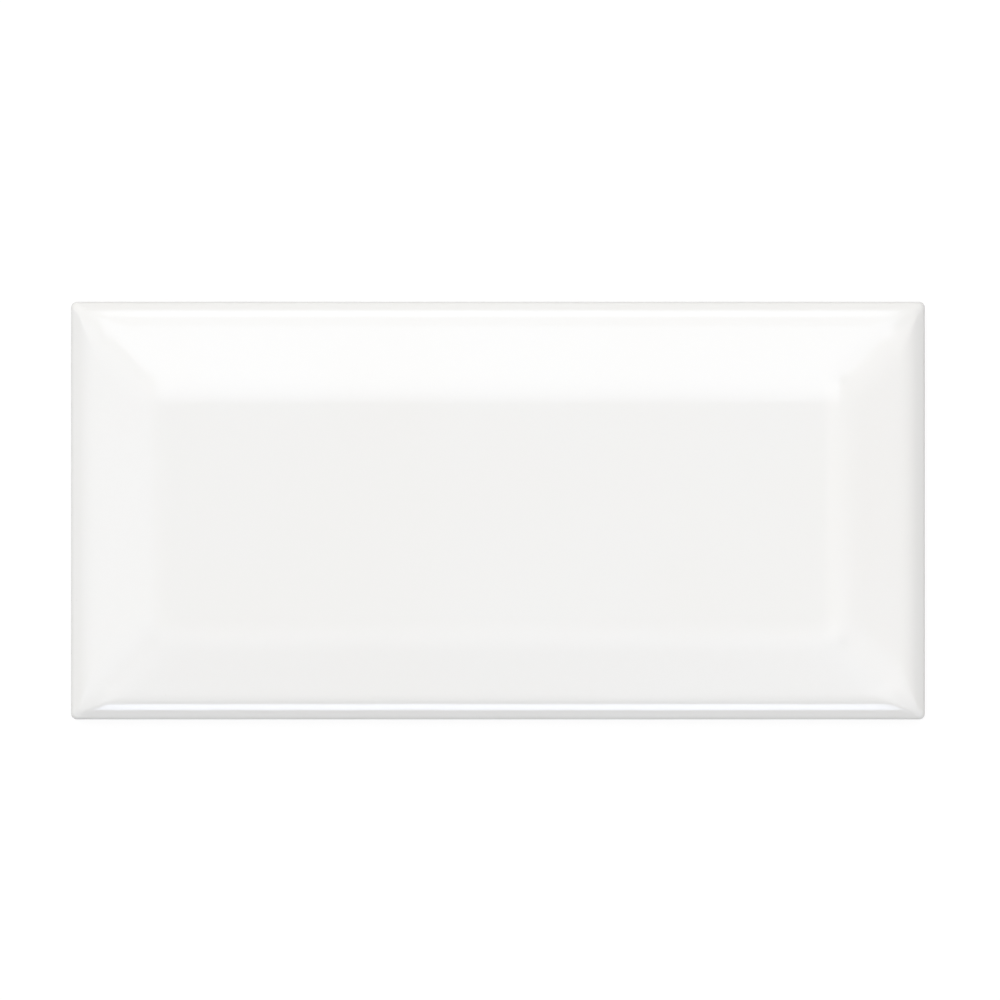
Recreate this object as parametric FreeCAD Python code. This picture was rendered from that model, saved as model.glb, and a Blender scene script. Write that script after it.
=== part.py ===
# Bevelled subway wall tile: one pressed, glazed and fired piece, lying on its back with the face up.
# The origin is the middle of the back. X runs along the tile, Y across it and Z out of the face.

import FreeCAD
import Part
import math
import os

# Overall size, in millimetres
TILE_LENGTH = 149.2
TILE_WIDTH = 73.0
TILE_THICKNESS = 8.0

# Sloping border round the raised flat of the face
BORDER_WIDTH = 15.0
BORDER_DROP = 3.0
ARRIS_RADIUS = 30.0

# Narrow steeper band where the border turns over towards the sides
RIM_WIDTH = 3.0
RIM_SLOPE_DEG = 28.0
RIM_MITRE_RADIUS = 2.5
RIM_BLEND_RADIUS = 12.0
NOSE_RADIUS = 0.9

# Sides
CORNER_RADIUS = 1.0
BACK_CHAMFER = 0.6

# Square keys pressed into the back, which the adhesive grips
KEY_SIZE = 9.2
KEY_RIB = 1.8
KEY_DEPTH = 0.7
KEY_DRAFT_DEG = 30.0
KEY_MARGIN = 3.0

# How far a cutter starts below the face that it cuts
CUTTER_START = 0.5

# Faces that meet at more than this angle, in degrees, make a sharp edge
SHARP_ANGLE_DEG = 3.0

# An edge that reaches further than this in all three directions runs at a slant
SLANT_LEAST = 0.05


def frustum(foot_length, foot_width, top_length, top_width, foot_z, top_z):
    """A centred block with flat sloping sides, from the foot rectangle up to the top one."""
    block = Part.makeWedge(
        -foot_length / 2, foot_z, -foot_width / 2, -top_width / 2, -top_length / 2,
        foot_length / 2, top_z, foot_width / 2, top_width / 2, top_length / 2,
    )
    block.rotate(FreeCAD.Vector(0, 0, 0), FreeCAD.Vector(1, 0, 0), 90)
    return block


def hipped_roof(inset, height, slope):
    """A four-sided roof over the tile, whose slopes pass through a line inset from the sides at a height.

    It runs from the back up to the face's own level, and past the sides of the tile where it is low.
    """
    spread_below = height / slope - inset
    spread_above = (height - TILE_THICKNESS) / slope - inset
    return frustum(
        TILE_LENGTH + 2 * spread_below, TILE_WIDTH + 2 * spread_below,
        TILE_LENGTH + 2 * spread_above, TILE_WIDTH + 2 * spread_above,
        0, TILE_THICKNESS,
    )


def edges_off_the_back(solid):
    """Every edge that doesn't lie in the plane of the back."""
    return [edge for edge in solid.Edges if edge.BoundBox.ZMax > CUTTER_START]


def corner_edges(block):
    """The four upright edges of a block."""
    return [edge for edge in block.Edges if edge.BoundBox.ZLength > TILE_THICKNESS / 2]


def mitre_edges(solid):
    """The edges that run off at a slant in plan, where two sloping sides meet."""
    boxes = [(edge, edge.BoundBox) for edge in solid.Edges]
    return [edge for edge, box in boxes if min(box.XLength, box.YLength, box.ZLength) > SLANT_LEAST]


def normal_at(face, point):
    """The outward normal of a face at a point that lies on it."""
    u, v = face.Surface.parameter(point)
    return face.normalAt(u, v)


def sharp_edges(solid):
    """The edges where two faces meet at an angle instead of running smoothly into each other."""
    found = []
    for edge in solid.Edges:
        faces = solid.ancestorsOfType(edge, Part.Face)
        middle = edge.valueAt((edge.FirstParameter + edge.LastParameter) / 2)
        if len(faces) == 2:
            angle = normal_at(faces[0], middle).getAngle(normal_at(faces[1], middle))
            if math.degrees(angle) > SHARP_ANGLE_DEG:
                found.append(edge)
    return found


def upright_block():
    """The tile's plan, with its rounded corners, raised to its full thickness."""
    block = Part.makeBox(
        TILE_LENGTH, TILE_WIDTH, TILE_THICKNESS,
        FreeCAD.Vector(-TILE_LENGTH / 2, -TILE_WIDTH / 2, 0),
    )
    return block.makeFillet(CORNER_RADIUS, corner_edges(block))


def bevelled_roof():
    """The flat and its four sloping borders, softened along the arrises and the mitres."""
    slope = BORDER_DROP / BORDER_WIDTH
    roof = hipped_roof(BORDER_WIDTH, TILE_THICKNESS, slope)
    return roof.makeFillet(ARRIS_RADIUS, edges_off_the_back(roof))


def rim_slab(span):
    """A slab along X, as wide as a span, whose sides go smoothly from the rim's slope to the border's."""
    steep = math.tan(math.radians(RIM_SLOPE_DEG))
    gentle = BORDER_DROP / BORDER_WIDTH
    bend_height = TILE_THICKNESS - BORDER_DROP + RIM_WIDTH * gentle
    top = TILE_THICKNESS + CUTTER_START
    bend = span / 2 - RIM_WIDTH
    foot = bend + bend_height / steep
    ridge = bend - (top - bend_height) / gentle
    run = TILE_LENGTH + TILE_WIDTH

    outline = [(-foot, 0), (foot, 0), (bend, bend_height), (ridge, top), (-ridge, top), (-bend, bend_height)]
    points = [FreeCAD.Vector(-run / 2, y, z) for y, z in outline + outline[:1]]
    slab = Part.Face(Part.makePolygon(points)).extrude(FreeCAD.Vector(run, 0, 0))
    bends = [edge for edge in slab.Edges if abs(edge.BoundBox.Center.z - bend_height) < CUTTER_START / 2
             and edge.BoundBox.XLength > run / 2]
    return slab.makeFillet(RIM_BLEND_RADIUS, bends)


def rim_roof():
    """The steeper slopes of the rim with the bend above them, mitred at the corners."""
    across = rim_slab(TILE_WIDTH)
    along = rim_slab(TILE_LENGTH)
    along.rotate(FreeCAD.Vector(0, 0, 0), FreeCAD.Vector(0, 0, 1), 90)
    roof = across.common(along)
    return roof.makeFillet(RIM_MITRE_RADIUS, mitre_edges(roof))


def key_positions(span):
    """Centres, along one direction, of as many keys as the back has room for inside its margin."""
    pitch = KEY_SIZE + KEY_RIB
    count = math.floor((span - 2 * KEY_MARGIN + KEY_RIB) / pitch)
    return [(number - (count - 1) / 2) * pitch for number in range(count)]


def key_cutter():
    """One key at the origin: a shallow square pocket with drafted walls."""
    lean = math.tan(math.radians(KEY_DRAFT_DEG))
    mouth = KEY_SIZE + 2 * CUTTER_START * lean
    floor = KEY_SIZE - 2 * KEY_DEPTH * lean
    return frustum(mouth, mouth, floor, floor, -CUTTER_START, KEY_DEPTH)


def keyed_back(body):
    """The body with its grid of keys pressed into the back."""
    cutter = key_cutter()
    cutters = []
    for x in key_positions(TILE_LENGTH):
        for y in key_positions(TILE_WIDTH):
            cutters.append(cutter.translated(FreeCAD.Vector(x, y, 0)))
    return body.cut(Part.makeCompound(cutters))


def nose_edges(body):
    """The sharp edges round the top of the upright sides."""
    found = []
    for edge in sharp_edges(body):
        sides = [face for face in body.ancestorsOfType(edge, Part.Face) if face.BoundBox.ZMin < CUTTER_START]
        if sides and edge.BoundBox.ZMin > CUTTER_START:
            found.append(edge)
    return found


def wall_tile():
    """The whole tile as one solid."""
    body = bevelled_roof().common(rim_roof()).common(upright_block())
    body = body.makeFillet(NOSE_RADIUS, nose_edges(body))
    back_line = [edge for edge in sharp_edges(body) if edge.BoundBox.ZMax < CUTTER_START]
    body = body.makeChamfer(BACK_CHAMFER, back_line)
    return keyed_back(body)


tile = wall_tile()
print("solids", len(tile.Solids), "valid", tile.isValid(), "volume", round(tile.Volume, 1))
os.makedirs("parts", exist_ok=True)
tile.Solids[0].exportStep("parts/wall_tile.step")
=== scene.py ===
"""Dressed model of a bevelled subway wall tile, with its floor, lamps and camera.

Lengths are in millimetres while a shape is worked out, and become metres as it is placed.
"""

import logging
import math
from dataclasses import astuple, dataclass, field
from enum import Enum
from typing import Iterator, Mapping, Optional, Union

import bpy
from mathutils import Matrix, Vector

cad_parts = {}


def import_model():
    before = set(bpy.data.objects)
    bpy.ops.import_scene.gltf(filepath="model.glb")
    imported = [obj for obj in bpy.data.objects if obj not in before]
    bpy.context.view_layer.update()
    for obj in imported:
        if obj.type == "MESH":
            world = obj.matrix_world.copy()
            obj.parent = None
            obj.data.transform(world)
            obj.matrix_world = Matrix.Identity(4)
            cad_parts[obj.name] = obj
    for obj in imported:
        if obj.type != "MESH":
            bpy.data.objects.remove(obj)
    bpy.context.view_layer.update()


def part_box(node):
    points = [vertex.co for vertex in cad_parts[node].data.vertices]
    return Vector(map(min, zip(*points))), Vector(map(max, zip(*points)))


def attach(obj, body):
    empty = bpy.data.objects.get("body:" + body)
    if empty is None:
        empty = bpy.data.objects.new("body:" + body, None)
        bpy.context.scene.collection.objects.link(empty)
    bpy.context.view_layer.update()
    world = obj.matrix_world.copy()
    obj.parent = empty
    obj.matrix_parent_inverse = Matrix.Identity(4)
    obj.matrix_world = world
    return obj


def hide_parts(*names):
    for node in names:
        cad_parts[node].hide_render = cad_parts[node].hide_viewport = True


LOG = logging.getLogger("wall_tile")

MM = 0.001
QUARTER_TURN = math.pi / 2
Colour = tuple[float, float, float]


class Field:
    """A value that a node tree works out at each point. Sums on it add nodes to the tree."""

    def __init__(self, sheet: "NodeSheet", socket: bpy.types.NodeSocket) -> None:
        """Keep the socket and the sheet that it is on."""
        self.sheet = sheet
        self.socket = socket

    def __add__(self, other: "Number") -> "Field":
        """Add a field or a number."""
        return self.sheet.math("ADD", self, other)

    def __radd__(self, other: "Number") -> "Field":
        """Add to a number."""
        return self.sheet.math("ADD", other, self)

    def __sub__(self, other: "Number") -> "Field":
        """Take a field or a number away."""
        return self.sheet.math("SUBTRACT", self, other)

    def __rsub__(self, other: "Number") -> "Field":
        """Take this away from a number."""
        return self.sheet.math("SUBTRACT", other, self)

    def __mul__(self, other: "Number") -> "Field":
        """Multiply by a field or a number."""
        return self.sheet.math("MULTIPLY", self, other)

    def __truediv__(self, other: "Number") -> "Field":
        """Divide by a field or a number."""
        return self.sheet.math("DIVIDE", self, other)

    def sine(self) -> "Field":
        """Sine of an angle in radians."""
        return self.sheet.math("SINE", self)

    def cosine(self) -> "Field":
        """Cosine of an angle in radians."""
        return self.sheet.math("COSINE", self)

    def magnitude(self) -> "Field":
        """The value without its sign."""
        return self.sheet.math("ABSOLUTE", self)

    def sign(self) -> "Field":
        """Minus one, nought or one."""
        return self.sheet.math("SIGN", self)

    def below(self, limit: "Number") -> "Field":
        """One where the value is under the limit, and nought elsewhere."""
        return self.sheet.math("LESS_THAN", self, limit)

    def towards(self, other: "Number", share: "Number") -> "Field":
        """Go part of the way from this value to another."""
        return self + (other - self) * share


Number = Union[Field, float, int]
Plug = Union[Field, bpy.types.NodeSocket, bpy.types.Material, float, int, bool, str, tuple]


class NodeSheet:
    """A node tree that is being laid out."""

    # Places of the colour sockets among all those of a Mix node
    MIX_SHARE = 0
    MIX_FIRST = 6
    MIX_SECOND = 7
    MIX_RESULT = 2

    def __init__(self, tree: bpy.types.NodeTree) -> None:
        """Keep the tree."""
        self.tree = tree

    def plug(self, socket: bpy.types.NodeSocket, value: Plug) -> None:
        """Wire a field or another node's socket to a socket, or set a plain value on it.

        Args:
            socket: The input socket.
            value: What goes into it.
        """
        if isinstance(value, Field):
            self.tree.links.new(value.socket, socket)
        elif isinstance(value, bpy.types.NodeSocket):
            self.tree.links.new(value, socket)
        else:
            socket.default_value = value

    def add(
        self, kind: str, plugs: Optional[Mapping[str, Plug]] = None, **settings: object
    ) -> bpy.types.Node:
        """Add a node.

        Args:
            kind: Blender's name for the kind of node.
            plugs: What goes into its inputs, by their names.
            settings: Its other settings.

        Returns:
            The new node.
        """
        node = self.tree.nodes.new(kind)
        for name, value in settings.items():
            setattr(node, name, value)
        for name, value in (plugs or {}).items():
            self.plug(node.inputs[name], value)
        return node

    def shape(self, kind: str, plugs: Mapping[str, Plug], **settings: object) -> Field:
        """Add a node that puts out a shape.

        Args:
            kind: Blender's name for the kind of node.
            plugs: What goes into its inputs, by their names.
            settings: Its other settings.

        Returns:
            The shape, which is the node's first output.
        """
        return Field(self, self.add(kind, plugs, **settings).outputs[0])

    def math(self, operation: str, *values: Number) -> Field:
        """Add a Math node.

        Args:
            operation: Blender's name for the sum.
            values: The numbers that go into it, in order.

        Returns:
            The result.
        """
        node = self.add("ShaderNodeMath", operation=operation)
        for socket, value in zip(node.inputs, values):
            self.plug(socket, value)
        return Field(self, node.outputs[0])

    def ramp(self, value: Number, low: Number, high: Number, smooth: bool = False) -> Field:
        """Rise from nought to one between two limits, and stay level outside them.

        Args:
            value: What is measured.
            low: Where the rise starts.
            high: Where it ends.
            smooth: Ease in and out of the rise.

        Returns:
            The share of the rise.
        """
        style = "SMOOTHSTEP" if smooth else "LINEAR"
        plugs = {"Value": value, "From Min": low, "From Max": high}
        node = self.add("ShaderNodeMapRange", plugs, interpolation_type=style, clamp=True)
        return Field(self, node.outputs["Result"])

    def vector(self, x: Number, y: Number, z: Number) -> Field:
        """Join three numbers into a vector.

        Args:
            x: First part.
            y: Second part.
            z: Third part.

        Returns:
            The vector.
        """
        node = self.add("ShaderNodeCombineXYZ", {"X": x, "Y": y, "Z": z})
        return Field(self, node.outputs["Vector"])

    def split(self, vector: Plug) -> tuple[Field, Field, Field]:
        """Take a vector apart.

        Args:
            vector: The vector.

        Returns:
            Its three parts.
        """
        node = self.add("ShaderNodeSeparateXYZ", {"Vector": vector})
        return Field(self, node.outputs["X"]), Field(self, node.outputs["Y"]), Field(self, node.outputs["Z"])

    def scaled(self, vector: Plug, factor: Number) -> Field:
        """Make a vector longer or shorter.

        Args:
            vector: The vector.
            factor: What its length is multiplied by.

        Returns:
            The scaled vector.
        """
        node = self.add("ShaderNodeVectorMath", {"Vector": vector, "Scale": factor}, operation="SCALE")
        return Field(self, node.outputs["Vector"])

    def noise(self, where: Plug, scale: Number, seed: Number, detail: float = 0.0) -> Field:
        """Soft random values, from nought to one.

        Args:
            where: Position that the noise is read at.
            scale: Bumps in each unit of length.
            seed: Which pattern is used.
            detail: How many finer layers are added.

        Returns:
            The noise.
        """
        plugs = {"Vector": where, "W": seed, "Scale": scale, "Detail": detail}
        node = self.add("ShaderNodeTexNoise", plugs, noise_dimensions="4D")
        return Field(self, node.outputs["Fac"])

    def blend(self, share: Number, first: Plug, second: Plug) -> Field:
        """Mix two colours.

        Args:
            share: How much of the second colour shows.
            first: Colour where the share is nought.
            second: Colour where the share is one.

        Returns:
            The mixed colour.
        """
        node = self.add("ShaderNodeMix", data_type="RGBA")
        self.plug(node.inputs[self.MIX_SHARE], share)
        self.plug(node.inputs[self.MIX_FIRST], first)
        self.plug(node.inputs[self.MIX_SECOND], second)
        return Field(self, node.outputs[self.MIX_RESULT])


def opaque(colour: Colour) -> tuple[float, float, float, float]:
    """Give a colour its full alpha."""
    return (*colour, 1.0)


class Zone(Enum):
    """What the surface of a stretch of the tile's section is."""

    BARE = "bare clay"
    GLAZED = "glaze"


@dataclass(frozen=True)
class Stroke:
    """A straight run or a bend of the section, on its way from the back, up the side and in to the flat.

    Angles are in radians from level: a quarter turn climbs straight up, and more leans outwards.

    Attributes:
        name: What a maker would call this stretch.
        zone: Its surface.
        segments: How many rows of faces it has.
        start_angle: Direction in which it sets off.
        end_angle: Direction in which it ends.
        extent: Length of a straight run, or radius of a bend.
        corner: Plan radius of the tile's corners where it ends.
    """

    name: str
    zone: Zone
    segments: int
    start_angle: float
    end_angle: float
    extent: float
    corner: float

    @property
    def bends(self) -> bool:
        """Whether it turns on its way."""
        return self.start_angle != self.end_angle

    def inputs(self) -> dict[str, float]:
        """The tree's inputs for this stroke, by name, with their values."""
        kind = "radius" if self.bends else "length"
        values = {f"{self.name} {kind}": self.extent, f"{self.name} start angle": self.start_angle}
        if self.bends:
            values[f"{self.name} end angle"] = self.end_angle
        values[f"{self.name} corner radius"] = self.corner
        return values

    def inset(self) -> float:
        """How much further in from the side it ends than it starts."""
        if self.bends:
            return self.extent * (math.sin(self.start_angle) - math.sin(self.end_angle))
        return self.extent * math.cos(self.start_angle)

    def travel(self, sizes: Mapping[str, Field], share: Field) -> tuple[Field, Field]:
        """Lay out the nodes for a share of the stroke.

        Args:
            sizes: The tree's inputs, by name.
            share: How much of the stroke is behind the point.

        Returns:
            How far in and how far up the point has come on this stroke.
        """
        start = sizes[f"{self.name} start angle"]
        if not self.bends:
            length = sizes[f"{self.name} length"] * share
            return length * start.cosine(), length * start.sine()
        radius = sizes[f"{self.name} radius"]
        angle = start.towards(sizes[f"{self.name} end angle"], share)
        return radius * (start.sine() - angle.sine()), radius * (angle.cosine() - start.cosine())


@dataclass(frozen=True)
class TileSection:
    """Half of the tile's section, the same on all four sides.

    Attributes:
        thickness: From the back to the flat of the face.
        border_width: Plan width of the sloping border.
        border_drop: How far the border falls.
        arris_radius: Rounding between the flat and the border, and along the mitres.
        rim_width: Plan width of the steeper band along the rim.
        rim_angle: Slope of that band.
        rim_mitre_radius: Rounding of the band's mitres.
        rim_blend_radius: Rounding between the band and the border.
        nose_radius: Rounding between the band and the side.
        corner_radius: Plan rounding of the upright corners.
        back_chamfer: Bevel round the back.
        glaze_skin: How far the glaze stands out from the bare clay.
        hem_height: Where the glaze ends on the side, above the back.
    """

    thickness: float
    border_width: float = 15.0
    border_drop: float = 3.0
    arris_radius: float = 30.0
    rim_width: float = 3.0
    rim_angle: float = math.radians(28.0)
    rim_mitre_radius: float = 2.5
    rim_blend_radius: float = 12.0
    nose_radius: float = 0.9
    corner_radius: float = 1.0
    back_chamfer: float = 0.6
    glaze_skin: float = 0.15
    hem_height: float = 1.5

    def strokes(self) -> list[Stroke]:
        """Follow the section from the edge of the back to the edge of the flat.

        Returns:
            The strokes, in order.
        """
        slope = math.atan2(self.border_drop, self.border_width)
        nose_length = self.nose_radius * math.tan((QUARTER_TURN - self.rim_angle) / 2)
        blend_length = self.rim_blend_radius * math.tan((self.rim_angle - slope) / 2)
        arris_length = self.arris_radius * math.tan(slope / 2)
        rim_top = self.thickness - self.border_drop * (1 - self.rim_width / self.border_width)
        rim_foot = rim_top - self.rim_width * math.tan(self.rim_angle)
        chamfer = self.back_chamfer - self.glaze_skin
        rim_length = self.rim_width / math.cos(self.rim_angle) - nose_length - blend_length
        border_length = (self.border_width - self.rim_width) / math.cos(slope) - blend_length - arris_length
        glazed_side = rim_foot - nose_length - self.hem_height - self.glaze_skin
        bare_corner = self.corner_radius - self.glaze_skin
        rim_corner = self.rim_mitre_radius * math.sin(self.rim_angle)
        border_corner = self.arris_radius * math.sin(slope)
        up = QUARTER_TURN
        outwards = 2 * up
        slant = 1.5 * up
        return [
            Stroke("Back chamfer", Zone.BARE, 1, slant, slant, chamfer * math.sqrt(2), bare_corner),
            Stroke("Bare side", Zone.BARE, 3, up, up, self.hem_height - chamfer, bare_corner),
            Stroke("Glaze hem", Zone.GLAZED, 4, outwards, up, self.glaze_skin, self.corner_radius),
            Stroke("Glazed side", Zone.GLAZED, 4, up, up, glazed_side, self.corner_radius),
            Stroke("Nose", Zone.GLAZED, 10, up, self.rim_angle, self.nose_radius, rim_corner),
            Stroke("Rim band", Zone.GLAZED, 3, self.rim_angle, self.rim_angle, rim_length, rim_corner),
            Stroke("Rim blend", Zone.GLAZED, 10, self.rim_angle, slope, self.rim_blend_radius, border_corner),
            Stroke("Border", Zone.GLAZED, 8, slope, slope, border_length, border_corner),
            Stroke("Arris", Zone.GLAZED, 12, slope, 0.0, self.arris_radius, 0.0),
        ]

    def flat_inset(self) -> float:
        """How far in from the sides the flat starts."""
        return self.back_chamfer + sum(stroke.inset() for stroke in self.strokes())


@dataclass(frozen=True)
class KeyGrid:
    """Square keys that are pressed into the back for the adhesive to grip.

    Attributes:
        size: Width of a key at its mouth.
        rib: Width of the rib between two keys.
        depth: Depth of a key.
        margin: Least width of the plain border round the keys.
        lip: How far the pressed wall of a key spreads from its mouth on either side.
        steps: Faces along a key's cell.
    """

    size: float = 9.2
    rib: float = 1.8
    depth: float = 0.7
    margin: float = 3.0
    lip: float = 0.36
    steps: int = 11

    @property
    def pitch(self) -> float:
        """From one key's middle to the next."""
        return self.size + self.rib

    def count(self, span: float) -> int:
        """How many keys fit along a side of the tile."""
        return math.floor((span - 2 * self.margin + self.rib) / self.pitch)


@dataclass
class TileTree:
    """Geometry Nodes tree that makes the whole tile as one closed mesh, by the rule of its section.

    Rows of points follow the section from the edge of the key grid round to the flat, and columns run
    round the plan. The flat and the cells of the key grid close the mesh at the top and at the back.

    Attributes:
        section: The tile's section.
        keys: The keys in its back.
        length: The tile's length.
        width: The tile's width.
        glaze: Material of the glazed surface.
        clay: Material of the bare surface.
        corner_steps: Columns round each corner.
        ripple: Depth of the soft unevenness of the fired glaze.
        ripple_scale: Its bumps in each millimetre.
        hem_wave: How far the lower edge of the glaze wanders up and down.
        hem_scale: Its bumps in each millimetre.
        seed: Which pattern of unevenness is used.
        sheet: The tree that is laid out.
        sizes: Its inputs, by name.
    """

    section: TileSection
    keys: KeyGrid
    length: float
    width: float
    glaze: bpy.types.Material
    clay: bpy.types.Material
    corner_steps: int = 12
    ripple: float = 0.03
    ripple_scale: float = 0.055
    hem_wave: float = 0.55
    hem_scale: float = 0.16
    seed: float = 4.0
    sheet: NodeSheet = field(init=False)
    sizes: dict[str, Field] = field(init=False)

    # Mark on the bare faces, distance at which points are joined, and angle between faces that looks sharp
    BARE_MARK = "bare"
    WELD = 0.004
    SHARP_ANGLE = math.radians(32.0)

    # Less than this many steps from a line of the lattice, a point is on it
    ON_LINE = 0.5

    # Finer layers and middle value of the noise, and how far the ripple's seed is from the hem's
    NOISE_DETAIL = 1.0
    NOISE_MIDDLE = 0.5
    RIPPLE_SEED_STEP = 7.0

    # Heights above the hem between which the ripple sets in
    RIPPLE_FROM = 1.0
    RIPPLE_TO = 2.0

    def __post_init__(self) -> None:
        """Make the empty tree with its named inputs."""
        tree = bpy.data.node_groups.new("tile_by_its_section", "GeometryNodeTree")
        tree.interface.new_socket("Tile", in_out="OUTPUT", socket_type="NodeSocketGeometry")
        for name in self.inputs():
            tree.interface.new_socket(name, in_out="INPUT", socket_type="NodeSocketFloat")
        self.sheet = NodeSheet(tree)
        source = self.sheet.add("NodeGroupInput")
        self.sizes = {name: Field(self.sheet, source.outputs[name]) for name in self.inputs()}

    def inputs(self) -> dict[str, float]:
        """Name the tree's sizes.

        Returns:
            Every input of the tree, with its value.
        """
        values = {
            "Tile length": self.length,
            "Tile width": self.width,
            "Back chamfer inset": self.section.back_chamfer,
            "Back corner radius": self.section.corner_radius - self.section.back_chamfer,
            "Flat inset": self.section.flat_inset(),
            "Flat height": self.section.thickness,
            "Key pitch": self.keys.pitch,
            "Key depth": self.keys.depth,
            "Key rib": self.keys.rib,
            "Key lip": self.keys.lip,
            "Glaze ripple": self.ripple,
            "Glaze ripple scale": self.ripple_scale,
            "Hem wave": self.hem_wave,
            "Hem wave scale": self.hem_scale,
            "Hem height": self.section.hem_height,
            "Seed": self.seed,
        }
        for stroke in self.section.strokes():
            values.update(stroke.inputs())
        return values

    def key_counts(self) -> tuple[int, int]:
        """Keys along the length and across the width."""
        return self.keys.count(self.length), self.keys.count(self.width)

    def side_steps(self) -> tuple[int, int]:
        """Columns along a long side and along a short one."""
        along, across = self.key_counts()
        return along * self.keys.steps, across * self.keys.steps

    def lattice(self, columns: int, rows: int) -> tuple[Field, Field, Field]:
        """Add a flat grid whose points can be counted.

        Args:
            columns: Steps along it.
            rows: Steps across it.

        Returns:
            The grid, and each point's column and row.
        """
        counts = {"Size X": columns, "Size Y": rows, "Vertices X": columns + 1, "Vertices Y": rows + 1}
        grid = self.sheet.shape("GeometryNodeMeshGrid", counts)
        x, y, _ = self.sheet.split(self.sheet.add("GeometryNodeInputPosition").outputs["Position"])
        return grid, x + columns / 2, y + rows / 2

    def marked_bare(self, mesh: Field, bare: Plug) -> Field:
        """Mark faces that are to be bare clay.

        Args:
            mesh: The faces.
            bare: Which of them are bare.

        Returns:
            The marked mesh.
        """
        plugs = {"Geometry": mesh, "Name": self.BARE_MARK, "Value": bare}
        return self.sheet.shape("GeometryNodeStoreNamedAttribute", plugs, data_type="BOOLEAN", domain="FACE")

    def placed(self, mesh: Field, position: Field) -> Field:
        """Move every point of a mesh to its place.

        Args:
            mesh: The points.
            position: Where they go.

        Returns:
            The moved mesh.
        """
        return self.sheet.shape("GeometryNodeSetPosition", {"Geometry": mesh, "Position": position})

    def plan(self, column: Field) -> tuple[Field, Field, Field]:
        """Follow the plan of the tile anticlockwise from the foot of its left end.

        Args:
            column: Steps taken round the plan.

        Returns:
            Where the point is along the length and across the width, each from -1 to 1 between the corners'
            centres, and the direction in which it faces outwards.
        """
        along, across = self.side_steps()
        passed = 0
        shares = []
        for steps in (along, self.corner_steps, across, self.corner_steps) * 2:
            shares.append(self.sheet.ramp(column, passed, passed + steps))
            passed += steps
        right, turn_1, up, turn_2, left, turn_3, down, turn_4 = shares
        facing = (turn_1 + turn_2 + turn_3 + turn_4) * QUARTER_TURN - QUARTER_TURN
        return (right - left) * 2 - 1, (up - down) * 2 - 1, facing

    def shell(self) -> Field:
        """Wrap the section round the plan.

        Returns:
            Land round the keys, sides, rim, border and arris, as one open ring.
        """
        strokes = self.section.strokes()
        along, across = self.side_steps()
        columns = 2 * (along + across) + 4 * self.corner_steps
        rows = 1 + sum(stroke.segments for stroke in strokes)
        bare_rows = 1 + sum(stroke.segments for stroke in strokes if stroke.zone is Zone.BARE)
        mesh, column, row = self.lattice(columns, rows)
        mesh = self.marked_bare(mesh, row.below(bare_rows))

        inset = self.sizes["Back chamfer inset"]
        height: Number = 0.0
        corner = self.sizes["Back corner radius"]
        passed = 1
        shares = {}
        for stroke in strokes:
            share = self.sheet.ramp(row, passed, passed + stroke.segments)
            further_in, further_up = stroke.travel(self.sizes, share)
            inset = inset + further_in
            height = height + further_up
            corner = corner.towards(self.sizes[f"{stroke.name} corner radius"], share)
            shares[stroke.name] = share
            passed += stroke.segments

        x, y, facing = self.plan(column)
        keys_along, keys_across = self.key_counts()
        on_keys = row.below(self.ON_LINE)
        corner = corner * (1 - on_keys)
        half_keys_along = self.sizes["Key pitch"] * (keys_along / 2)
        half_keys_across = self.sizes["Key pitch"] * (keys_across / 2)
        half_length = (self.sizes["Tile length"] / 2 - inset).towards(half_keys_along, on_keys)
        half_width = (self.sizes["Tile width"] / 2 - inset).towards(half_keys_across, on_keys)
        x = x * (half_length - corner) + corner * facing.cosine()
        y = y * (half_width - corner) + corner * facing.sine()

        near_hem = shares["Bare side"] * (1 - shares["Glazed side"])
        on_plan = self.sheet.vector(x, y, 0.0)
        noise = self.sheet.noise(on_plan, self.sizes["Hem wave scale"], self.sizes["Seed"], self.NOISE_DETAIL)
        height = height + (noise - self.NOISE_MIDDLE) * 2 * self.sizes["Hem wave"] * near_hem
        return self.placed(mesh, self.sheet.vector(x, y, height))

    def flat(self) -> Field:
        """Fill the raised flat in the middle of the face.

        Returns:
            The flat.
        """
        along, across = self.side_steps()
        mesh, column, row = self.lattice(along, across)
        x = (column / along - 0.5) * (self.sizes["Tile length"] - self.sizes["Flat inset"] * 2)
        y = (row / across - 0.5) * (self.sizes["Tile width"] - self.sizes["Flat inset"] * 2)
        return self.placed(mesh, self.sheet.vector(x, y, self.sizes["Flat height"]))

    def key_cell(self) -> Field:
        """Make one key with half of the ribs round it.

        The points on its outline stay evenly spaced, so that cells meet each other and the land round them.

        Returns:
            The cell, facing up.
        """
        steps = self.keys.steps
        mesh, column, row = self.lattice(steps, steps)
        lip_steps = (steps - 1) // 2 - 1
        lip_start = self.sizes["Key rib"] / 2 - self.sizes["Key lip"]
        from_middle = [column / steps - 0.5, row / steps - 0.5]
        from_edge = [steps / 2 - (part * steps).magnitude() for part in from_middle]
        pressed = []
        places = []
        for part, edge, other_edge in zip(from_middle, from_edge, reversed(from_edge)):
            lip = self.sizes["Key lip"] * 2 * self.sheet.ramp(edge, 1, 1 + lip_steps)
            inset = (lip_start + lip) * (1 - edge.below(self.ON_LINE))
            inside = part.sign() * (self.sizes["Key pitch"] / 2 - inset)
            places.append(inside.towards(part * self.sizes["Key pitch"], other_edge.below(self.ON_LINE)))
            pressed.append(self.sheet.ramp(edge, 1, 1 + lip_steps, smooth=True))
        depth = self.sizes["Key depth"] * pressed[0] * pressed[1]
        return self.placed(mesh, self.sheet.vector(places[0], places[1], depth))

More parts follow.
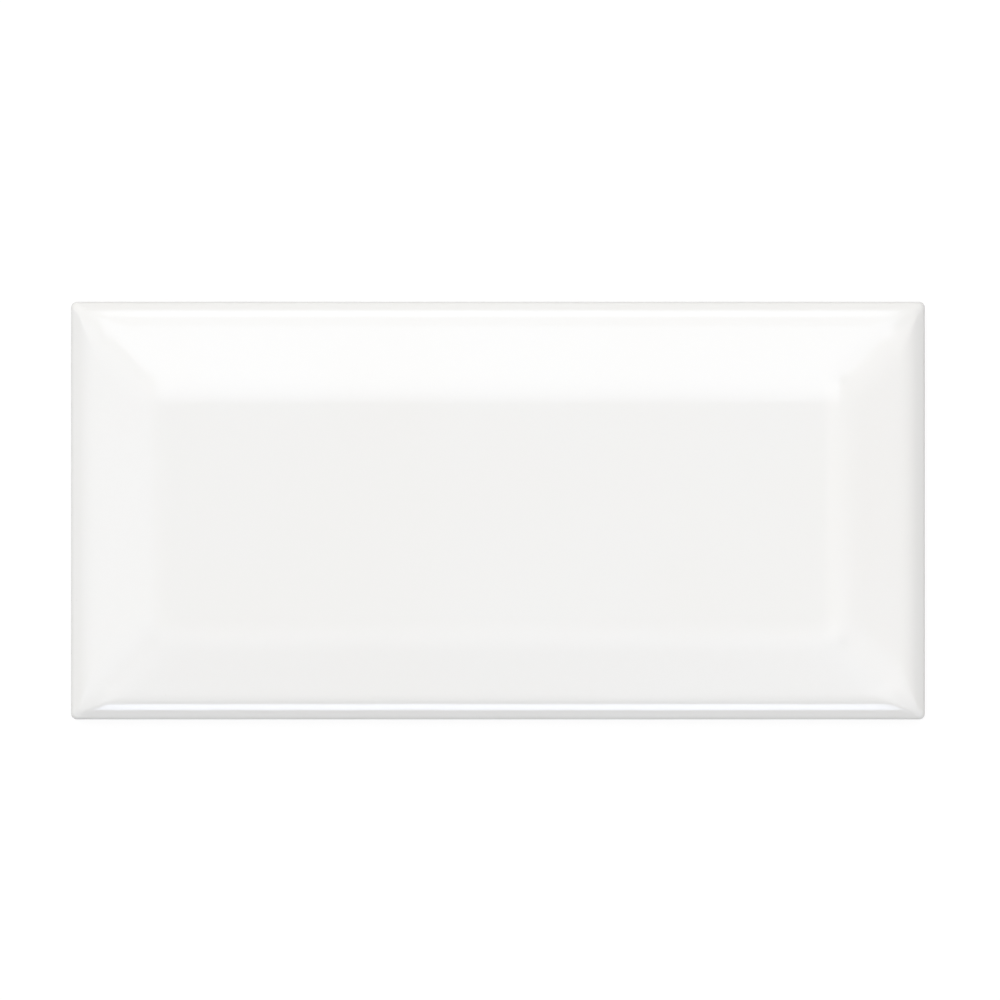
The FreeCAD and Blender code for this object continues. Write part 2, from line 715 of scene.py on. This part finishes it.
    def key_grid(self) -> Field:
        """Repeat the key over the back.

        Returns:
            All the cells, facing down.
        """
        keys_along, keys_across = self.key_counts()
        spread = {
            "Size X": self.sizes["Key pitch"] * (keys_along - 1),
            "Size Y": self.sizes["Key pitch"] * (keys_across - 1),
            "Vertices X": keys_along,
            "Vertices Y": keys_across,
        }
        points = self.sheet.shape("GeometryNodeMeshGrid", spread)
        cell = self.marked_bare(self.key_cell(), True)
        copies = self.sheet.shape("GeometryNodeInstanceOnPoints", {"Points": points, "Instance": cell})
        cells = self.sheet.shape("GeometryNodeRealizeInstances", {"Geometry": copies})
        return self.sheet.shape("GeometryNodeFlipFaces", {"Mesh": cells})

    def rippled(self, mesh: Field) -> Field:
        """Sink the glaze by the soft unevenness that firing leaves, and never raise it.

        Args:
            mesh: The closed tile.

        Returns:
            The tile with its uneven glaze.
        """
        position = self.sheet.add("GeometryNodeInputPosition").outputs["Position"]
        normal = self.sheet.add("GeometryNodeInputNormal").outputs["Normal"]
        _, _, z = self.sheet.split(position)
        hem = self.sizes["Hem height"]
        glazed = self.sheet.ramp(z, hem + self.RIPPLE_FROM, hem + self.RIPPLE_TO)
        seed = self.sizes["Seed"] + self.RIPPLE_SEED_STEP
        swell = self.sheet.noise(position, self.sizes["Glaze ripple scale"], seed, self.NOISE_DETAIL)
        offset = self.sheet.scaled(normal, swell * glazed * self.sizes["Glaze ripple"] * -1)
        return self.sheet.shape("GeometryNodeSetPosition", {"Geometry": mesh, "Offset": offset})

    def shaded(self, mesh: Field) -> Field:
        """Shade the mesh smoothly, apart from its sharp edges.

        Args:
            mesh: The tile.

        Returns:
            The shaded tile.
        """
        smooth = self.sheet.shape("GeometryNodeSetShadeSmooth", {"Geometry": mesh}, domain="FACE")
        angle = Field(self.sheet, self.sheet.add("GeometryNodeInputMeshEdgeAngle").outputs["Unsigned Angle"])
        sharp = 1 - angle.below(self.SHARP_ANGLE)
        plugs = {"Geometry": smooth, "Selection": sharp, "Shade Smooth": False}
        return self.sheet.shape("GeometryNodeSetShadeSmooth", plugs, domain="EDGE")

    def dressed(self, mesh: Field) -> Field:
        """Give the glazed and the bare faces their materials.

        Args:
            mesh: The tile.

        Returns:
            The dressed tile.
        """
        glazed = self.sheet.shape("GeometryNodeSetMaterial", {"Geometry": mesh, "Material": self.glaze})
        plugs = {"Name": self.BARE_MARK}
        mark = self.sheet.add("GeometryNodeInputNamedAttribute", plugs, data_type="BOOLEAN")
        plugs = {"Geometry": glazed, "Selection": mark.outputs["Attribute"], "Material": self.clay}
        return self.sheet.shape("GeometryNodeSetMaterial", plugs)

    def build(self) -> bpy.types.GeometryNodeTree:
        """Lay out the whole tree.

        Returns:
            The tree, which puts out the tile in metres.
        """
        join = self.sheet.add("GeometryNodeJoinGeometry")
        for mesh in (self.shell(), self.flat(), self.key_grid()):
            self.sheet.plug(join.inputs["Geometry"], mesh)
        plugs = {"Geometry": join.outputs["Geometry"], "Distance": self.WELD}
        mesh = self.rippled(self.sheet.shape("GeometryNodeMergeByDistance", plugs))
        mesh = self.sheet.shape("GeometryNodeTransform", {"Geometry": mesh, "Scale": (MM, MM, MM)})
        mesh = self.sheet.shape("GeometryNodeRealizeInstances", {"Geometry": self.shaded(mesh)})
        self.sheet.add("NodeGroupOutput", {"Tile": self.dressed(mesh)})
        return self.sheet.tree


@dataclass(frozen=True)
class FiringMarks:
    """Sizes of the marks of firing on one surface.

    Attributes:
        cloud: Clouds of tone in each metre.
        speck: Places for a speck in each metre.
        speck_size: Size of a speck, as a share of its place.
        speck_share: Share of the places that have a speck.
        grain: Grains in each metre.
        seed: Which pattern is used.
    """

    cloud: float
    speck: float
    speck_size: float
    speck_share: float
    grain: float
    seed: float


class FiredTone:
    """Shader node group for the marks of firing: clouds of tone, specks and fine grain."""

    INPUTS = ("Cloud scale", "Speck scale", "Speck size", "Speck share", "Grain scale", "Seed")
    OUTPUTS = ("Cloud", "Speck", "Grain")

    # Finer layers in the clouds and in the grain, and how far the grain's seed is from the clouds'
    CLOUD_DETAIL = 2.0
    GRAIN_DETAIL = 3.0
    GRAIN_SEED_STEP = 3.0

    # Noise at which a cloud starts, and at which it is whole
    CLOUD_FROM = 0.3
    CLOUD_TO = 0.7

    # Share of a speck that is solid, and strength of the faintest speck
    SPECK_CORE = 0.4
    FAINTEST = 0.4

    def __init__(self) -> None:
        """Build the group once, for every finish to use."""
        self.tree = bpy.data.node_groups.new("fired_tone", "ShaderNodeTree")
        self.tree.interface.new_socket("Where", in_out="INPUT", socket_type="NodeSocketVector")
        for name in self.INPUTS:
            self.tree.interface.new_socket(name, in_out="INPUT", socket_type="NodeSocketFloat")
        for name in self.OUTPUTS:
            self.tree.interface.new_socket(name, in_out="OUTPUT", socket_type="NodeSocketFloat")
        self.lay_out(NodeSheet(self.tree))

    def lay_out(self, sheet: NodeSheet) -> None:
        """Lay out the group's nodes.

        Args:
            sheet: Where the nodes go.
        """
        source = sheet.add("NodeGroupInput")
        where, cloud_scale, speck_scale, speck_size, speck_share, grain_scale, seed = (
            Field(sheet, source.outputs[name]) for name in ("Where", *self.INPUTS)
        )
        cloud = sheet.noise(where, cloud_scale, seed, self.CLOUD_DETAIL)
        grain = sheet.noise(where, grain_scale, seed + self.GRAIN_SEED_STEP, self.GRAIN_DETAIL)
        plugs = {"Vector": where, "Scale": speck_scale}
        cells = sheet.add("ShaderNodeTexVoronoi", plugs, voronoi_dimensions="3D", feature="F1")
        chance, tone, _ = sheet.split(cells.outputs["Color"])
        distance = Field(sheet, cells.outputs["Distance"])
        spot = 1 - sheet.ramp(distance, speck_size * self.SPECK_CORE, speck_size, smooth=True)
        strength = tone * (1 - self.FAINTEST) + self.FAINTEST
        results = {
            "Cloud": sheet.ramp(cloud, self.CLOUD_FROM, self.CLOUD_TO, smooth=True),
            "Speck": spot * chance.below(speck_share) * strength,
            "Grain": grain,
        }
        sheet.add("NodeGroupOutput", results)

    def place(self, sheet: NodeSheet, where: Plug, marks: FiringMarks) -> dict[str, Field]:
        """Place the group in a material.

        Args:
            sheet: The material's sheet.
            where: Position that the pattern is read at.
            marks: Sizes of the marks.

        Returns:
            The group's results, by name.
        """
        node = sheet.add("ShaderNodeGroup", node_tree=self.tree)
        sheet.plug(node.inputs["Where"], where)
        for name, value in zip(self.INPUTS, astuple(marks)):
            sheet.plug(node.inputs[name], value)
        return {name: Field(sheet, node.outputs[name]) for name in self.OUTPUTS}


def empty_material(name: str) -> tuple[bpy.types.Material, NodeSheet]:
    """Make a material with no nodes in it.

    Args:
        name: The material's name.

    Returns:
        The material and the sheet of its nodes.
    """
    material = bpy.data.materials.new(name)
    material.use_nodes = True
    material.node_tree.nodes.clear()
    return material, NodeSheet(material.node_tree)


@dataclass(frozen=True)
class FiredFinish:
    """Finish of a fired surface.

    Attributes:
        name: The material's name.
        light: Its main colour.
        deep: Its colour in the clouds.
        speck: Colour of its specks.
        speck_strength: How much a speck shows.
        roughness: How rough it is.
        cloud_roughness: What a cloud adds to that.
        speck_roughness: What a speck adds to that.
        grain_depth: Depth of its grain, in metres.
        pit_depth: Depth of a speck's pit, as a multiple of the grain's.
        ior: Its refractive index.
        marks: Sizes of its marks of firing.
    """

    name: str
    light: Colour
    deep: Colour
    speck: Colour
    speck_strength: float
    roughness: float
    cloud_roughness: float
    speck_roughness: float
    grain_depth: float
    pit_depth: float
    ior: float
    marks: FiringMarks

    def colour(self, sheet: NodeSheet, where: Plug, fired: Mapping[str, Field]) -> Field:
        """Colour the surface with its clouds and specks.

        Args:
            sheet: The material's sheet.
            where: Position on the piece.
            fired: The marks of firing, by name.

        Returns:
            The colour.
        """
        clouded = sheet.blend(fired["Cloud"], opaque(self.light), opaque(self.deep))
        return sheet.blend(fired["Speck"] * self.speck_strength, clouded, opaque(self.speck))

    def material(self, tone: FiredTone) -> bpy.types.Material:
        """Make the material.

        Args:
            tone: The shared effects of firing.

        Returns:
            The material.
        """
        material, sheet = empty_material(self.name)
        where = sheet.add("ShaderNodeTexCoord").outputs["Object"]
        fired = tone.place(sheet, where, self.marks)
        roughness = self.roughness + fired["Cloud"] * self.cloud_roughness
        height = fired["Grain"] - fired["Speck"] * self.pit_depth
        bump = sheet.add("ShaderNodeBump", {"Strength": 1.0, "Distance": self.grain_depth, "Height": height})
        plugs = {
            "Base Color": self.colour(sheet, where, fired),
            "Roughness": roughness + fired["Speck"] * self.speck_roughness,
            "IOR": self.ior,
            "Normal": bump.outputs["Normal"],
        }
        shader = sheet.add("ShaderNodeBsdfPrincipled", plugs)
        sheet.add("ShaderNodeOutputMaterial", {"Surface": shader.outputs["BSDF"]})
        return material


@dataclass(frozen=True)
class GlazeFinish(FiredFinish):
    """Glossy white glaze with a few faint pin marks, a little uneven in tone as fired glaze is."""

    name: str = "gloss_white_glaze"
    light: Colour = (0.870, 0.867, 0.854)
    deep: Colour = (0.866, 0.860, 0.843)
    speck: Colour = (0.55, 0.51, 0.45)
    speck_strength: float = 0.3
    roughness: float = 0.06
    cloud_roughness: float = 0.02
    speck_roughness: float = 0.25
    grain_depth: float = 0.000004
    pit_depth: float = 4.0
    ior: float = 1.6
    marks: FiringMarks = FiringMarks(
        cloud=26.0, speck=190.0, speck_size=0.035, speck_share=0.04, grain=420.0, seed=2.0
    )


@dataclass(frozen=True)
class BiscuitFinish(FiredFinish):
    """Bare fired clay, matt and finely porous, with a chalky wash on the ribs of the back.

    Attributes:
        wash: Colour of the chalky wash.
        wash_strength: How much the wash shows.
        wash_height: Height above the ribs that it reaches, in metres.
        streaks: Its streaks in each metre.
        streak_seed: Which pattern of streaks is used.
        streak_detail: How many finer layers the streaks have.
        streak_from: Noise at which a streak starts.
        streak_to: Noise at which it is whole.
    """

    name: str = "bare_clay"
    light: Colour = (0.76, 0.715, 0.64)
    deep: Colour = (0.66, 0.60, 0.515)
    speck: Colour = (0.30, 0.235, 0.18)
    speck_strength: float = 0.55
    roughness: float = 0.86
    cloud_roughness: float = 0.08
    speck_roughness: float = 0.0
    grain_depth: float = 0.00006
    pit_depth: float = 0.6
    ior: float = 1.45
    marks: FiringMarks = FiringMarks(
        cloud=60.0, speck=700.0, speck_size=0.22, speck_share=0.10, grain=2600.0, seed=9.0
    )
    wash: Colour = (0.82, 0.805, 0.775)
    wash_strength: float = 0.75
    wash_height: float = 0.00012
    streaks: float = 240.0
    streak_seed: float = 5.0
    streak_detail: float = 3.0
    streak_from: float = 0.42
    streak_to: float = 0.58

    def colour(self, sheet: NodeSheet, where: Plug, fired: Mapping[str, Field]) -> Field:
        """Colour the clay, and streak its ribs with the wash.

        Args:
            sheet: The material's sheet.
            where: Position on the piece.
            fired: The marks of firing, by name.

        Returns:
            The colour.
        """
        clay = super().colour(sheet, where, fired)
        _, _, z = sheet.split(where)
        noise = sheet.noise(where, self.streaks, self.streak_seed, self.streak_detail)
        streaks = sheet.ramp(noise, self.streak_from, self.streak_to, smooth=True)
        washed = z.below(self.wash_height) * streaks * self.wash_strength
        return sheet.blend(washed, clay, opaque(self.wash))


@dataclass
class WallTile:
    """The tile itself: one fired piece, glazed on its face, rim and upper sides.

    Attributes:
        node: The part's node that it stands for.
        slot: The part's slot that it takes its finish from.
        glaze: Finish of the face.
        biscuit: Finish of the back and the foot of the sides.
        keys: The keys in its back.
    """

    node: str = "wall_tile"
    slot: str = "white_glaze"
    glaze: GlazeFinish = GlazeFinish()
    biscuit: BiscuitFinish = BiscuitFinish()
    keys: KeyGrid = KeyGrid()

    def build(self) -> bpy.types.Object:
        """Make the tile to the size of the part's node, and let it stand for that node.

        Returns:
            The finished piece.
        """
        low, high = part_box(self.node)
        length, width, thickness = ((top - bottom) / MM for bottom, top in zip(low, high))
        tone = FiredTone()
        maker = TileTree(
            section=TileSection(thickness=thickness),
            keys=self.keys,
            length=length,
            width=width,
            glaze=self.glaze.material(tone),
            clay=self.biscuit.material(tone),
        )
        piece = self.made_real(maker)
        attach(piece, "root")
        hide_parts(self.node)
        return piece

    def made_real(self, maker: TileTree) -> bpy.types.Object:
        """Run the tree, and keep its result as a plain mesh.

        Args:
            maker: The tree's builder.

        Returns:
            An object at the origin that holds the mesh.
        """
        piece = bpy.data.objects.new("glazed_tile", bpy.data.meshes.new("tile_start"))
        bpy.context.scene.collection.objects.link(piece)
        modifier = piece.modifiers.new("tile_by_its_section", "NODES")
        modifier.node_group = maker.build()
        values = maker.inputs()
        for socket in modifier.node_group.interface.items_tree:
            if socket.in_out == "INPUT":
                modifier[socket.identifier] = values[socket.name]
        graph = bpy.context.evaluated_depsgraph_get()
        mesh = bpy.data.meshes.new_from_object(piece.evaluated_get(graph), depsgraph=graph)
        mesh.name = "glazed_tile"
        for place in reversed(range(len(mesh.materials))):
            if mesh.materials[place] is None:
                mesh.materials.pop(index=place)
        piece.modifiers.clear()
        piece.data = mesh
        return piece


class Side(Enum):
    """Where a lamp stands round the tile, as a bearing in degrees from +X."""

    RIGHT = 0.0
    BACK = 90.0
    BACK_LEFT = 135.0
    LEFT = 180.0
    FRONT_LEFT = 225.0
    FRONT = 270.0
    FRONT_RIGHT = 315.0


def direction_to(side: Side, tilt: float) -> Vector:
    """Point from the tile towards one side of it.

    Args:
        side: Which side.
        tilt: Degrees from straight overhead.

    Returns:
        The direction.
    """
    slope = math.radians(tilt)
    bearing = math.radians(side.value)
    return Vector((math.sin(slope) * math.cos(bearing), math.sin(slope) * math.sin(bearing), math.cos(slope)))


@dataclass(frozen=True)
class RoomGlow:
    """Soft light that the room itself sends from all round one direction.

    Attributes:
        side: The side that its middle is on.
        tilt: Degrees from straight overhead to its middle.
        focus: How closely it gathers round its middle, where 1 is the widest.
        radiance: How bright its middle looks, where 1 is white.
    """

    side: Side
    tilt: float
    focus: float
    radiance: float

    def share(self, sheet: NodeSheet, outwards: tuple[Field, Field, Field]) -> Field:
        """Lay out the nodes for its light from a direction.

        Args:
            sheet: Where the nodes go.
            outwards: The direction's three parts.

        Returns:
            The light from there.
        """
        x, y, z = outwards
        middle = direction_to(self.side, self.tilt)
        near = sheet.ramp(x * middle.x + y * middle.y + z * middle.z, 0.0, 1.0)
        return sheet.math("POWER", near, self.focus) * self.radiance


@dataclass(frozen=True)
class Softbox:
    """A flat lamp that faces the tile and is dimmer towards its edges.

    Attributes:
        name: Its name.
        side: Where it stands.
        colour: Its colour.
        inner: Degrees from straight overhead to its upper edge, as the tile sees it.
        outer: Degrees from straight overhead to its lower edge.
        spread: Degrees from its middle to either end.
        radiance: How bright its middle looks, where 1 is white.
        fade_inner: Share of its depth over which it fades towards its upper edge.
        fade_outer: Share of its depth over which it fades towards its lower edge.
        fade_ends: Share of its width over which it fades towards either end.
        distance: Metres from the tile to its middle.
    """

    name: str
    side: Side
    colour: Colour
    inner: float
    outer: float
    spread: float
    radiance: float
    fade_inner: float = 0.08
    fade_outer: float = 0.08
    fade_ends: float = 0.08
    distance: float = 2.0

    def place(self) -> None:
        """Put the lamp in the scene."""
        outwards = direction_to(self.side, (self.inner + self.outer) / 2)
        light = bpy.data.lights.new(self.name, "AREA")
        light.shape = "RECTANGLE"
        light.size = 2 * self.distance * math.tan(math.radians(self.spread))
        light.size_y = 2 * self.distance * math.tan(math.radians(self.outer - self.inner) / 2)
        light.energy = self.radiance * math.pi * light.size * light.size_y
        light.color = self.colour
        self.fade_edges(light)
        lamp = bpy.data.objects.new(self.name, light)
        lamp.location = outwards * self.distance
        lamp.rotation_euler = (-outwards).to_track_quat("-Z", "Y").to_euler()
        lamp.visible_camera = False
        bpy.context.scene.collection.objects.link(lamp)

    def fade_edges(self, light: bpy.types.Light) -> None:
        """Dim the lamp towards its edges, as the cloth of a softbox does.

        Args:
            light: The lamp's light.
        """
        light.use_nodes = True
        light.node_tree.nodes.clear()
        sheet = NodeSheet(light.node_tree)
        along, up, _ = sheet.split(sheet.add("ShaderNodeNewGeometry").outputs["Parametric"])
        from_end = 0.5 - (along - 0.5).magnitude()
        strength = sheet.ramp(from_end, 0.0, self.fade_ends, smooth=True)
        strength = strength * sheet.ramp(1 - up, 0.0, self.fade_inner, smooth=True)
        strength = strength * sheet.ramp(up, 0.0, self.fade_outer, smooth=True)
        glow = sheet.add("ShaderNodeEmission", {"Strength": strength})
        sheet.add("ShaderNodeOutputLight", {"Surface": glow.outputs["Emission"]})


@dataclass(frozen=True)
class Studio:
    """The floor, the lamps, the world and the camera.

    Attributes:
        floor_size: Metres along each side of the floor.
        floor_gap: Millimetres from the floor up to the back of the tile.
        floor_roughness: How rough the floor is.
        floor_colour: Colour of the floor.
        floor_lift: Light that the floor adds where it is looked at, so that it reads as white.
        room_colour: Colour of the light from the room.
        room_least: How bright the room looks where no glow reaches.
        lens: Focal length of the camera.
        sensor: Width of its sensor.
        pixels: Width and height of the picture.
        pixels_per_mm: Scale of the picture at the rim of the tile.
        rim_height: Height of the rim above the floor.
        middle_column: Pixel column of the tile's middle.
        middle_row: Pixel row of the tile's middle.
    """

    floor_size: float = 6.0
    floor_gap: float = 0.02
    floor_roughness: float = 0.9
    floor_colour: Colour = (0.18, 0.18, 0.18)
    floor_lift: float = 0.86
    room_colour: Colour = (1.0, 0.985, 0.94)
    room_least: float = 0.01
    lens: float = 135.0
    sensor: float = 36.0
    pixels: float = 1000.0
    pixels_per_mm: float = 5.7225
    rim_height: float = 3.5
    middle_column: float = 498.0
    middle_row: float = 510.6

    def lamps(self) -> Iterator[Softbox]:
        """The softboxes, from the back round to the front."""
        blue = (0.83, 0.88, 1.0)
        deep_blue = (0.79, 0.85, 1.0)
        pink = (1.0, 0.925, 0.86)
        warm = (1.0, 0.995, 0.975)
        crisp = {"fade_inner": 0.01, "fade_outer": 0.01, "fade_ends": 0.01}
        soft = {"fade_inner": 0.2, "fade_outer": 0.2, "fade_ends": 0.2}
        yield Softbox(
            "key_softbox", Side.BACK, blue, inner=1.5, outer=31.0, spread=17.8, radiance=1.38,
            fade_inner=0.4, fade_ends=0.04,
        )
        yield Softbox(
            "key_edge", Side.BACK, blue, inner=3.4, outer=10.0, spread=17.8, radiance=0.5,
            fade_inner=0.05, fade_outer=0.75, fade_ends=0.04,
        )
        yield Softbox(
            "key_skirt", Side.BACK, blue, inner=30.0, outer=46.5, spread=17.0, radiance=0.88,
            fade_inner=0.1, fade_outer=0.04,
        )
        yield Softbox(
            "back_strip", Side.BACK, blue, inner=46.0, outer=57.5, spread=8.2, radiance=2.2,
            **crisp,
        )
        yield Softbox(
            "left_fill", Side.LEFT, deep_blue, inner=18.0, outer=62.0, spread=18.0, radiance=0.52,
            fade_outer=0.5,
        )
        yield Softbox(
            "right_fill", Side.RIGHT, pink, inner=6.0, outer=66.0, spread=18.0, radiance=0.72,
            fade_outer=0.35,
        )
        yield Softbox(
            "front_fill", Side.FRONT, warm, inner=3.0, outer=44.5, spread=18.0, radiance=0.73,
            fade_inner=0.3, fade_outer=0.35,
        )
        yield Softbox(
            "front_low", Side.FRONT, warm, inner=28.0, outer=45.5, spread=17.0, radiance=0.12,
            fade_inner=0.6, fade_outer=0.05,
        )
        yield Softbox(
            "front_strip", Side.FRONT, deep_blue, inner=46.0, outer=56.5, spread=8.2, radiance=5.4,
            **crisp,
        )
        yield Softbox(
            "front_left_soft", Side.FRONT_LEFT, deep_blue, inner=10.0, outer=52.0, spread=17.0,
            radiance=0.22, **soft,
        )
        yield Softbox(
            "front_right_soft", Side.FRONT_RIGHT, deep_blue, inner=10.0, outer=62.0, spread=17.0,
            radiance=0.5, **soft,
        )

    def glows(self) -> Iterator[RoomGlow]:
        """What the room adds to the lamps."""
        yield RoomGlow(Side.BACK, tilt=0.0, focus=1.7, radiance=0.737)
        yield RoomGlow(Side.BACK, tilt=60.0, focus=2.0, radiance=0.28)
        yield RoomGlow(Side.BACK_LEFT, tilt=76.0, focus=3.0, radiance=1.04)

    def lay_floor(self) -> None:
        """Lay a plain pale floor under the tile."""
        half = self.floor_size / 2
        mesh = bpy.data.meshes.new("floor")
        level = -self.floor_gap * MM
        corners = [(-half, -half, level), (half, -half, level), (half, half, level), (-half, half, level)]
        mesh.from_pydata(corners, [], [(0, 1, 2, 3)])
        floor = bpy.data.objects.new("floor", mesh)
        bpy.context.scene.collection.objects.link(floor)
        material, sheet = empty_material("pale_floor")
        path = sheet.add("ShaderNodeLightPath")
        seen = [Field(sheet, path.outputs[f"Is {kind} Ray"]) for kind in ("Camera", "Glossy", "Transmission")]
        plugs = {
            "Base Color": opaque(self.floor_colour),
            "Roughness": self.floor_roughness,
            "Specular IOR Level": 0.0,
            "Emission Color": opaque((1.0, 1.0, 1.0)),
            "Emission Strength": (seen[0] + seen[1] + seen[2]) * self.floor_lift,
        }
        plain = sheet.add("ShaderNodeBsdfPrincipled", plugs)
        sheet.add("ShaderNodeOutputMaterial", {"Surface": plain.outputs["BSDF"]})
        mesh.materials.append(material)

    def light_world(self) -> None:
        """Light the room softly, mostly from overhead and from the back."""
        world = bpy.data.worlds.new("studio")
        world.use_nodes = True
        world.node_tree.nodes.clear()
        sheet = NodeSheet(world.node_tree)
        outwards = sheet.split(sheet.add("ShaderNodeTexCoord").outputs["Generated"])
        strength = self.room_least
        for glow in self.glows():
            strength = strength + glow.share(sheet, outwards)
        room = sheet.add("ShaderNodeBackground", {"Color": opaque(self.room_colour), "Strength": strength})
        sheet.add("ShaderNodeOutputWorld", {"Surface": room.outputs["Background"]})
        bpy.context.scene.world = world

    def set_camera(self) -> None:
        """Look straight down on the tile, framed as in the photograph."""
        data = bpy.data.cameras.new("camera")
        data.lens = self.lens
        data.sensor_width = self.sensor
        camera = bpy.data.objects.new("camera", data)
        frame_width = self.pixels / self.pixels_per_mm
        height = frame_width * self.lens / self.sensor + self.rim_height
        across = (self.pixels / 2 - self.middle_column) / self.pixels_per_mm
        upwards = (self.middle_row - self.pixels / 2) / self.pixels_per_mm
        camera.location = Vector((across, upwards, height)) * MM
        bpy.context.scene.collection.objects.link(camera)
        bpy.context.scene.camera = camera
        bpy.context.scene.view_settings.view_transform = "Standard"

    def set_up(self) -> None:
        """Put everything round the tile in its place."""
        self.lay_floor()
        self.light_world()
        for softbox in self.lamps():
            softbox.place()
        self.set_camera()


def main() -> None:
    """Load the part, dress it and set up the studio."""
    logging.basicConfig(level=logging.INFO, format="%(name)s: %(message)s")
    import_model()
    tile = WallTile().build()
    LOG.info("%s: %d faces", tile.name, len(tile.data.polygons))
    Studio().set_up()
    LOG.info("floor, lamps and camera are in place")


if __name__ == "__main__":
    main()
